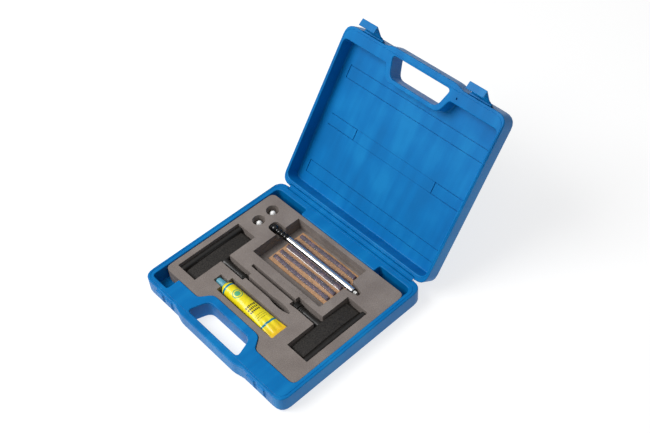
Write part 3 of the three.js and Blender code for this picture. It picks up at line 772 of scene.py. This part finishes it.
# the rasp's cutting length is crossed by two sets of spiral cuts
def makeRasp(tool, facing, node):
    rasp, end = makeShank(node, "spiralRasp", raspShape["radius"], 48, 260)
    for point in rasp.data.vertices:
        fromTip = end - point.co.x
        if fromTip < raspShape["cutLength"]:
            turn = raspShape["starts"] * math.atan2(point.co.z, point.co.y)
            climb = 2 * math.pi * fromTip / raspShape["pitch"]
            cut = max(abs(math.sin(turn + climb)) ** 6, abs(math.sin(turn - climb)) ** 6)
            size = 1.06 - raspShape["cutDepth"] * cut
            size *= 0.15 + 0.85 * swell(fromTip, -2 * mm, 6 * mm)
            point.co.y *= size
            point.co.z *= size
    rasp.data.transform(toolPlace(tool, facing))
    smoothUnder(rasp, 30)
    dress(rasp, tool, "tool_steel", finishes["toolSteel"], node)


for tool, facing in (("insertion_tool", 1), ("reamer", -1)):
    makeGrip(tool, facing)
    makeCollar(tool, facing)
makeNeedle("insertion_tool", 1, "insertion_tool_needle")
makeRasp("reamer", -1, "reamer_rasp")
print("tools made")


# the pen gauge

gaugeShape = {"bore": 3.6 * mm, "rings": 3, "tick": 2 * mm, "tickWide": 0.3 * mm}


# the white bar with its plain black ticks, printed square across
def makeScaledNylon():
    material, tree, shader, place = newMaterial("tickedWhiteNylon", {"IOR": 1.53})
    split = addNode(tree, "ShaderNodeSeparateXYZ", {0: place}).outputs[0]
    step = {0: split, 1: gaugeShape["tick"]}
    along = addNode(tree, "ShaderNodeMath", step, operation="FLOORED_MODULO").outputs[0]
    wide = {0: along, 1: gaugeShape["tickWide"]}
    ticks = addNode(tree, "ShaderNodeMath", wide, operation="LESS_THAN").outputs[0]
    tones = [(0.3, "#EFEFEB"), (0.6, "#1A1A1C")]
    colour = addNode(tree, "ShaderNodeValToRGB", {"Fac": ticks}, tones).outputs[0]
    fine = {"Vector": place, "Scale": 1 / mm, "Detail": 3}
    grain = addNode(tree, "ShaderNodeTexNoise", fine).outputs[0]
    rough = addNode(tree, "ShaderNodeValToRGB", {"Fac": grain}, [(0.3, 0.28), (0.7, 0.4)]).outputs[0]
    setSockets(tree, shader, {"Base Color": colour, "Roughness": rough})
    return material


def makeBarrel(centre):
    low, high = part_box("gauge_barrel")
    radius = (high.z - low.z) / 2
    bore = gaugeShape["bore"]
    outline = [(low.x, bore), (low.x, radius - 0.3 * mm), (low.x + 0.3 * mm, radius)]
    outline += [(low.x + 1.6 * mm, radius), (low.x + 1.9 * mm, radius - 0.25 * mm)]
    outline += [(low.x + 2.2 * mm, radius - 0.25 * mm), (low.x + 2.5 * mm, radius - 0.05 * mm)]
    outline += [(high.x - 4.2 * mm, radius - 0.05 * mm), (high.x - 3.9 * mm, radius - 0.3 * mm)]
    outline += [(high.x - 3.4 * mm, radius - 0.3 * mm), (high.x - 3 * mm, radius - 0.1 * mm)]
    outline += [(high.x - 1 * mm, radius - 0.3 * mm), (high.x, radius - 0.7 * mm)]
    outline += [(high.x, bore), (low.x, bore)]
    barrel = turnedPiece("gaugeBarrel", outline, centre, steps=64)
    smoothUnder(barrel, 30)
    dress(barrel, "gauge", "chrome", finishes["chrome"], "gauge_barrel")


def makeNeck(centre):
    low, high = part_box("gauge_neck")
    flange = high.x - 6.35 * mm
    pitch = (flange - low.x - 4.5 * mm) / gaugeShape["rings"]
    outline = [(low.x, 0), (low.x, 3 * mm), (low.x + 1.6 * mm, 3.1 * mm)]
    for ring in range(gaugeShape["rings"]):
        start = low.x + 2 * mm + ring * pitch
        outline += [(start, 3 * mm), (start + 0.4 * mm, 3.7 * mm), (start + 1.1 * mm, 4.1 * mm)]
        outline += [(start + pitch / 2, 4.25 * mm), (start + pitch - 1.5 * mm, 4.1 * mm)]
        outline += [(start + pitch - 0.8 * mm, 3.7 * mm), (start + pitch - 0.4 * mm, 3 * mm)]
    outline += [(flange - 2.2 * mm, 3.6 * mm), (flange - 1.8 * mm, 4.3 * mm), (flange, 4.3 * mm)]
    outline += [(flange + 0.05 * mm, 3.3 * mm), (high.x, 3.3 * mm), (high.x, 0)]
    neck = turnedPiece("gaugeNeck", outline, centre)
    smoothUnder(neck, 50)
    dress(neck, "gauge", "gauge_black", finishes["glossBlack"], "gauge_neck")


def makeHead(centre):
    low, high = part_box("gauge_head")
    ball = (high.z - low.z) / 2
    middle = low.x + ball * 0.82
    outline = [(low.x + 3.4 * mm, 0), (low.x + 3.4 * mm, 3.8 * mm), (low.x + 0.4 * mm, 3.8 * mm)]
    start = math.acos((middle - low.x) / ball)
    for step in range(19):
        angle = start + (math.radians(150) - start) * step / 18
        outline.append((middle - ball * math.cos(angle), ball * math.sin(angle)))
    outline += [(high.x, 3 * mm), (high.x, 0)]
    head = turnedPiece("gaugeHead", outline, centre, steps=56)
    smoothUnder(head, 35)
    dress(head, "gauge", "gauge_black", finishes["glossBlack"], "gauge_head")


def makeScaleBar():
    low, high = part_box("gauge_indicator_bar")
    bar = addBlock("gaugeScaleBar", (low + high) / 2, high - low)
    roundEdges(bar, 0.35 * mm, 3)
    settleNormals(bar)
    dress(bar, "gauge_bar", "white_plastic", makeScaledNylon(), "gauge_indicator_bar")


def makeGauge():
    low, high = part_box("gauge_barrel")
    centre = (0, (low.y + high.y) / 2, (low.z + high.z) / 2)
    makeBarrel(centre)
    makeNeck(centre)
    makeHead(centre)
    makeScaleBar()
    carried = {
        "gauge_end_bush": "glossBlack", "gauge_head_seal": "rubber", "gauge_piston": "rubber",
        "gauge_valve_pin": "springSteel", "gauge_spring": "springSteel",
    }
    for node, finish in carried.items():
        paint(frame["nodes"][node], finishes[finish])


makeGauge()
print("gauge made")


# the cement tube

tubeShape = {
    "radius": 9.2 * mm,
    "shoulder": 16 * mm,  # from the tip of the nozzle to where the round body starts
    "tailHalf": 11.8 * mm,
    "tailThick": 0.8 * mm,
    "crimp": 4 * mm,  # the folded strip at the tail
    "rise": 2.6 * mm,
    "dent": 0.35 * mm,
    "crease": 0.5 * mm,
    "spot": (-22, 6.5),  # in mm: the round spot's place along the tube, and its radius
    "rows": ((0.5, 3.3), (5, 7.8), (9.5, 12.3)),  # rows of plain dark blocks
    "paleRows": ((18, 18.9), (21, 21.9), (24, 24.9)),
    "bands": ((-41, -38), (33, 35.8)),
}


# soft aluminium tube with printed enamel: yellow, with plain teal bands, a plain round spot and
# rows of plain blocks, and orange painted shade over the folded tail, patchy and growing towards its end
def makeTubeEnamel(axisY):
    material, tree, shader, place = newMaterial("printedTubeEnamel", {"IOR": 1.5})
    split = addNode(tree, "ShaderNodeSeparateXYZ", {0: place})
    inMm = {0: split.outputs[0], 1: mm}
    along = addNode(tree, "ShaderNodeMath", inMm, operation="DIVIDE").outputs[0]
    offset = {0: split.outputs[1], 1: axisY}
    across = addNode(tree, "ShaderNodeMath", offset, operation="SUBTRACT").outputs[0]
    across = addNode(tree, "ShaderNodeMath", {0: across, 1: mm}, operation="DIVIDE").outputs[0]

    def lay(base, mask, colour):
        sockets = {0: mask, 6: base, 7: linear(colour)}
        return addNode(tree, "ShaderNodeMix", sockets, data_type="RGBA").outputs[2]

    fine = {"Vector": place, "Scale": 1 / (6 * mm), "Detail": 3}
    scuffs = addNode(tree, "ShaderNodeTexNoise", fine).outputs[0]
    tones = [(0.3, "#EFD90E"), (0.7, "#F8EA24")]
    ink = addNode(tree, "ShaderNodeValToRGB", {"Fac": scuffs}, tones).outputs[0]
    # painted shade: orange laid on the tail from 34 mm to 52 mm along, broken up by the scuff noise
    tailShadeSpan = {"Value": along, 1: 34, 2: 52, 3: 0, 4: 1}
    tail = addNode(tree, "ShaderNodeMapRange", tailShadeSpan).outputs[0]
    patchyTailShade = {0: tail, 1: scuffs}
    tail = addNode(tree, "ShaderNodeMath", patchyTailShade, operation="MULTIPLY").outputs[0]
    ink = lay(ink, tail, "#E89A1C")
    for low, high in tubeShape["bands"]:
        ink = lay(ink, bandMask(tree, along, low, high), "#00829B")
    centre, radius = tubeShape["spot"]
    fromSpot = {0: along, 1: centre}
    fromSpot = addNode(tree, "ShaderNodeMath", fromSpot, operation="SUBTRACT").outputs[0]
    spot = addNode(tree, "ShaderNodeCombineXYZ", {0: fromSpot, 1: across}).outputs[0]
    reach = addNode(tree, "ShaderNodeVectorMath", {0: spot}, operation="LENGTH").outputs["Value"]
    ink = lay(ink, bandMask(tree, reach, radius - 1.1, radius), "#2E9E6E")
    ink = lay(ink, bandMask(tree, reach, -1, radius - 2.6), "#57B07C")
    width = bandMask(tree, across, -7.5, 6.5)
    blocks = addNode(tree, "ShaderNodeMath", {0: across, 1: 2.4}, operation="FLOORED_MODULO")
    gaps = addNode(tree, "ShaderNodeMath", {0: blocks.outputs[0], 1: 1.7}, operation="LESS_THAN")
    dashes = addNode(tree, "ShaderNodeMath", {0: width, 1: gaps.outputs[0]}, operation="MULTIPLY")
    for rows, colour in (("rows", "#26301A"), ("paleRows", "#8F8A2A")):
        for low, high in tubeShape[rows]:
            mask = {0: bandMask(tree, along, low, high), 1: dashes.outputs[0]}
            mask = addNode(tree, "ShaderNodeMath", mask, operation="MULTIPLY").outputs[0]
            ink = lay(ink, mask, colour)
    rough = addNode(tree, "ShaderNodeValToRGB", {"Fac": scuffs}, [(0.3, 0.22), (0.7, 0.36)]).outputs[0]
    relief = {"Height": scuffs, "Distance": 0.3 * mm, "Strength": 0.4}
    normal = addNode(tree, "ShaderNodeBump", relief).outputs[0]
    setSockets(tree, shader, {"Base Color": ink, "Roughness": rough, "Normal": normal})
    return material


def makeTubeBody(low, high, capLow, axisY, axisZ):
    radius = tubeShape["radius"]
    start = low.x + tubeShape["shoulder"]
    length = high.x - start
    body = ringedBar("cementTubeBody", start, high.x - 0.3 * mm, (0, axisY, axisZ), radius, 48, 90)
    for point in body.data.vertices:
        along = max(0, (point.co.x - start) / length)
        flat = along ** 1.6
        wide = 1 + (tubeShape["tailHalf"] / radius - 1) * flat
        thin = 1 - (1 - tubeShape["tailThick"] / radius) * flat
        across = (point.co.y - axisY) / radius
        dent = tubeShape["dent"] * math.sin(95 * along + 7 * across) * along * (1 - along)
        crease = tubeShape["crease"] * math.sin(9 * across + 4 * along) * swell(along, 0.6, 0.85)
        point.co.y = axisY + (point.co.y - axisY) * wide
        point.co.z = axisZ + (point.co.z - axisZ) * thin + tubeShape["rise"] * along + dent
        fromTail = high.x - point.co.x
        if fromTail < tubeShape["crimp"]:
            upper = 1 if point.co.z > axisZ + tubeShape["rise"] * along else -1
            point.co.z += upper * 0.55 * mm
        else:
            point.co.z += crease
    smoothUnder(body, 40)
    outline = [(start + 0.4 * mm, 0), (start + 0.4 * mm, 8.9 * mm), (start - 0.6 * mm, 8.7 * mm)]
    outline += [(start - 4.6 * mm, 5.6 * mm), (start - 4.9 * mm, 3 * mm), (capLow.x + 3.2 * mm, 3 * mm)]
    outline += [(capLow.x + 3.2 * mm, 0)]
    shoulder = turnedPiece("cementTubeShoulder", outline, (0, axisY, axisZ))
    smoothUnder(shoulder, 35)
    joinLoose(body, shoulder)
    dress(body, "cement_tube", "tube_yellow", makeTubeEnamel(axisY), "cement_tube_body")


def makeTubeCap(capLow, capHigh, axisY, axisZ):
    outline = [(capLow.x, 0), (capLow.x, 3.6 * mm), (capLow.x + 0.8 * mm, 4.5 * mm)]
    outline += [(capHigh.x - 0.6 * mm, 5.35 * mm), (capHigh.x, 5.1 * mm), (capHigh.x, 3.3 * mm)]
    outline += [(capLow.x + 2.6 * mm, 3.3 * mm), (capLow.x + 2.6 * mm, 0)]
    cap = turnedPiece("cementTubeCap", outline, (0, axisY, axisZ), steps=72)
    for point in cap.data.vertices:  # grip ribs along the cap
        turn = math.atan2(point.co.z - axisZ, point.co.y - axisY)
        reach = math.hypot(point.co.y - axisY, point.co.z - axisZ)
        if reach > 4 * mm:
            squeeze = 1 - 0.035 * (0.5 + 0.5 * math.cos(24 * turn))
            point.co.y = axisY + (point.co.y - axisY) * squeeze
            point.co.z = axisZ + (point.co.z - axisZ) * squeeze
    smoothUnder(cap, 35)
    dress(cap, "tube_cap", "cap_teal", finishes["tubeCap"], "cement_tube_cap")


def makeCementTube():
    low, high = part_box("cement_tube_body")
    capLow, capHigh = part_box("cement_tube_cap")
    axisY = (low.y + high.y) / 2
    axisZ = (capLow.z + capHigh.z) / 2
    makeTubeBody(low, high, capLow, axisY, axisZ)
    makeTubeCap(capLow, capHigh, axisY, axisZ)


makeCementTube()
print("cement tube made")


# the plug strings on their sheet, under a clear film

plugShape = {
    "strings": 5,
    "twist": 17 * mm,
    "sway": 0.45 * mm,
    "film": 0.12 * mm,
    "filmHalf": 5.2 * mm,
    # painted glints on the film, white lines standing in for light off its sharp folds: the cord's
    # number, the place across it, and the share of its length
    "paintedGlintLines": ((3, -4.1 * mm, 0.03, 0.99), (3, 2.6 * mm, 0.1, 1.0), (5, 5.2 * mm, 0.08, 0.36)),
}


def makePlugStrings():
    for number in range(1, plugShape["strings"] + 1):
        node = f"plug_string_{number}"
        low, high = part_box(node)
        middle = (low + high) / 2
        halfWide = (high.y - low.y) / 2 - 0.6 * mm
        halfTall = (high.z - low.z) / 2
        start, end = low.x + 0.4 * mm, high.x - 0.4 * mm
        string = ringedBar(f"plugString_{number}", start, end, middle, 1 * mm, 24, 150)
        for point in string.data.vertices:
            along = point.co.x - start
            angle = math.atan2(point.co.z - middle.z, point.co.y - middle.y)
            twist = 2 * math.pi * along / plugShape["twist"] + number
            lobes = 0.9 + 0.1 * math.cos(3 * (angle - twist))
            fuzz = 0.03 * math.sin(along / (0.9 * mm) + 5 * angle) * math.sin(along / (2.3 * mm) + number)
            sway = plugShape["sway"] * math.sin(along / (16 * mm) + 2 * number)
            point.co.y = middle.y + halfWide * (lobes + fuzz) * math.cos(angle) + sway
            point.co.z = middle.z + halfTall * (lobes + fuzz) * math.sin(angle)
        smoothUnder(string, 60)
        dress(string, "plug_pack", "plug_rubber", finishes["plugCord"], node)


def makePlugSheet():
    low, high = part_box("plug_backing_sheet")
    middle = (low + high) / 2
    sheet = addBlock("plugBackingSheet", middle, high - low)
    editAll(sheet)
    bpy.ops.mesh.subdivide(number_cuts=24)
    bpy.ops.object.mode_set(mode="OBJECT")
    for point in sheet.data.vertices:
        edge = abs(point.co.y - middle.y) / (high.y - middle.y)
        point.co.z += 0.12 * mm * edge ** 6 * (1 + math.sin(point.co.x / (12 * mm)))
    smoothUnder(sheet, 40)
    dress(sheet, "plug_pack", "sheet_tan", finishes["waxedSheet"], "plug_backing_sheet")


def makePlugFilm():
    low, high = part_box("plug_backing_sheet")
    bottom = high.z + 0.3 * mm
    cords = [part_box(f"plug_string_{number}") for number in range(1, plugShape["strings"] + 1)]
    middle = (low + high) / 2
    bpy.ops.mesh.primitive_grid_add(
        x_subdivisions=90, y_subdivisions=110, size=1, location=(middle.x, middle.y, bottom),
    )
    film = justAdded("plugBlisterFilm")
    film.scale = (high.x - low.x - 1 * mm, high.y - low.y - 1 * mm, 1)
    applyPlace(film)
    for point in film.data.vertices:
        rise = 0
        for cordLow, cordHigh in cords:
            across = abs(point.co.y - (cordLow.y + cordHigh.y) / 2) / plugShape["filmHalf"]
            over = min(point.co.x - cordLow.x, cordHigh.x - point.co.x) + 1.5 * mm
            if across < 1 and over > 0:
                rise = max(rise, math.sqrt(1 - across ** 2) * min(1, over / (3 * mm)))
        point.co.z += rise * (cords[0][1].z + 0.3 * mm - bottom)
    addModifier(film, "SOLIDIFY", thickness=plugShape["film"], offset=1)
    smoothUnder(film, 60)
    # the painted glint lines, each placed along its cord
    paintedGlintLines = []
    for number, across, start, end in plugShape["paintedGlintLines"]:
        cordLow, cordHigh = cords[number - 1]
        length = cordHigh.x - cordLow.x
        place = (cordLow.y + cordHigh.y) / 2 + across
        paintedGlintLines.append((place, cordLow.x + start * length, cordLow.x + end * length))
    dress(film, "plug_pack", "white_plastic", makeClearFilm(paintedGlintLines))


makePlugStrings()
makePlugSheet()
makePlugFilm()
print("plugs made")


# the valve caps

valveCapShape = {"bore": 3.4 * mm, "flutes": 16, "depth": 0.05}


def makeValveCaps():
    bore = valveCapShape["bore"]
    for number in (1, 2):
        node = f"valve_cap_{number}"
        low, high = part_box(node)
        centre = ((low.x + high.x) / 2, (low.y + high.y) / 2, low.z)
        radius = (high.x - low.x) / 2
        tall = high.z - low.z
        outline = [(0, bore), (0, radius), (tall - 4.6 * mm, radius), (tall - 4 * mm, radius - 0.5 * mm)]
        outline += [(tall - 2.2 * mm, radius - 0.9 * mm), (tall - 0.7 * mm, radius - 2 * mm)]
        outline += [(tall, 0.6 * mm), (tall, 0), (tall - 3 * mm, 0), (tall - 3 * mm, bore), (0, bore)]
        cap = turnedPiece(f"valveCap_{number}", outline, centre, True, 64)
        for point in cap.data.vertices:  # grip flutes round the skirt
            offset = Vector((point.co.x - centre[0], point.co.y - centre[1]))
            if offset.length > radius - 0.2 * mm:
                turn = math.atan2(offset.y, offset.x)
                wave = 0.5 + 0.5 * math.cos(valveCapShape["flutes"] * turn)
                offset *= 1 - valveCapShape["depth"] * wave
                point.co.x = centre[0] + offset.x
                point.co.y = centre[1] + offset.y
        smoothUnder(cap, 40)
        dress(cap, f"cap_{number}", "white_plastic", finishes["whiteNylon"], node)


makeValveCaps()
print("valve caps made")


# floor, lights and camera

studio = {
    "floor": "#A0A0A0",
    "floorGlow": 0.72,  # keeps the shadows on the floor faint
    "sky": ((0.0, 0.1), (0.35, 0.18), (0.75, 0.55), (1.0, 0.65)),
    "skyStrength": 0.8,
    "keyPower": 43,
    "keySize": 1.3,
    "keyPlace": (-0.75, -1.15, 1.7),
    "lens": 53.28,
    "cameraPlace": (0.6038, -0.4206, 0.9380),
    "cameraTurn": (42.30, 3.10, 47.07),
}


def makeFloor():
    bpy.ops.mesh.primitive_plane_add(size=24, location=(0, 0, -0.4 * mm))
    floor = justAdded("studioFloor")
    sockets = {"Roughness": 0.9, "Base Color": linear(studio["floor"])}
    glow = {"Emission Color": (1, 1, 1, 1), "Emission Strength": studio["floorGlow"]}
    floor.data.materials.append(newMaterial("paleStudioFloor", {**sockets, **glow})[0])


def makeKeyLamp():
    light = bpy.data.lights.new("keyLamp", "AREA")
    light.energy = studio["keyPower"]
    light.size = studio["keySize"]
    lamp = bpy.data.objects.new("keyLamp", light)
    lamp.location = studio["keyPlace"]
    aim = Vector((0, 0, 0.05)) - lamp.location
    lamp.rotation_euler = aim.to_track_quat("-Z", "Y").to_euler()
    bpy.context.scene.collection.objects.link(lamp)


# a plain sky, dim at the horizon and bright overhead
def makeSky():
    world = bpy.data.worlds.new("studioSky")
    world.use_nodes = True
    tree = world.node_tree
    place = addNode(tree, "ShaderNodeTexCoord", {}).outputs["Generated"]
    height = addNode(tree, "ShaderNodeSeparateXYZ", {0: place}).outputs[2]
    colour = addNode(tree, "ShaderNodeValToRGB", {"Fac": height}, studio["sky"]).outputs[0]
    setSockets(tree, tree.nodes["Background"], {"Color": colour, "Strength": studio["skyStrength"]})
    bpy.context.scene.world = world
    bpy.context.scene.view_settings.view_transform = "Standard"


def makeCamera():
    camera = bpy.data.cameras.new("viewCamera")
    camera.lens = studio["lens"]
    camera.sensor_width = 36
    stand = bpy.data.objects.new("viewCamera", camera)
    stand.location = studio["cameraPlace"]
    stand.rotation_euler = [math.radians(turn) for turn in studio["cameraTurn"]]
    bpy.context.scene.collection.objects.link(stand)
    bpy.context.scene.camera = stand


makeFloor()
makeKeyLamp()
makeSky()
makeCamera()
print("studio made")
